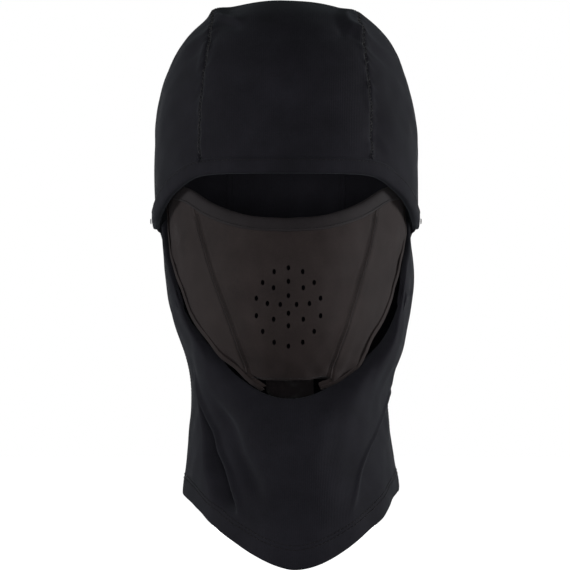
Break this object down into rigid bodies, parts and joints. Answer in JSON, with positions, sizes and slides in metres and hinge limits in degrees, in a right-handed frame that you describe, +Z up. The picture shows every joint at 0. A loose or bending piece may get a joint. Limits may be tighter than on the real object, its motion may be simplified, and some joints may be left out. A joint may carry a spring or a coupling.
{
  "type": "hinged balaclava",
  "caption": "Fleece hood with a bound face opening, a perforated face mask that swings down under the chin, and a neck tube with a lifting cowl and a curved hem.",
  "frame": {"origin": "where the top of the wearer's head meets the inside of the crown, on the middle plane", "axes": "+Z up along the worn head, -Y the way the wearer faces, +X to the wearer's left"},
  "size_m": [0.1764, 0.2254, 0.3665],
  "materials": {
    "fleece": "matte brushed stretch fleece, near black with a faint blue cast",
    "mask_shell": "smooth wind-proof shell fabric with a soft sheen, warm charcoal",
    "thread": "slightly shiny polyester sewing thread, black",
    "elastic": "woven elastic webbing, matte black"
  },
  "bodies": {
    "hood": {"crown_centre_panel": "fleece", "crown_side_panel_left": "fleece", "crown_side_panel_right": "fleece", "crown_seam_left": "thread", "crown_seam_right": "thread", "nape_seam": "thread", "face_opening_binding": "fleece", "face_opening_elastic": "elastic", "face_opening_topstitch": "thread", "hinge_bartack_left": "thread", "hinge_bartack_right": "thread", "neck_back_panel": "fleece", "neck_front_panel": "fleece", "neck_seam_left": "thread", "neck_seam_right": "thread", "hem_coverstitch": "thread"},
    "face_mask": {"mask_centre_panel": "mask_shell", "mask_side_panel_left": "mask_shell", "mask_side_panel_right": "mask_shell", "mask_seam_left": "thread", "mask_seam_right": "thread", "mask_top_binding": "mask_shell", "mask_top_elastic": "elastic", "mask_edge_binding_left": "mask_shell", "mask_edge_binding_right": "mask_shell", "mask_chin_panel": "mask_shell", "mask_chin_seam": "thread"},
    "neck_cowl": {"cowl_panel": "fleece", "cowl_rolled_edge": "fleece"}
  },
  "joints": [
    {"name": "mask_hinge", "type": "hinge", "parent": "hood", "child": "face_mask", "pos_m": [0, 0, -0.1405], "axis": [1, 0, 0], "range_deg": [0, 45]},
    {"name": "cowl_hinge", "type": "hinge", "parent": "hood", "child": "neck_cowl", "pos_m": [0, 0, -0.1405], "axis": [-1, 0, 0], "range_deg": [0, 25]}
  ]
}
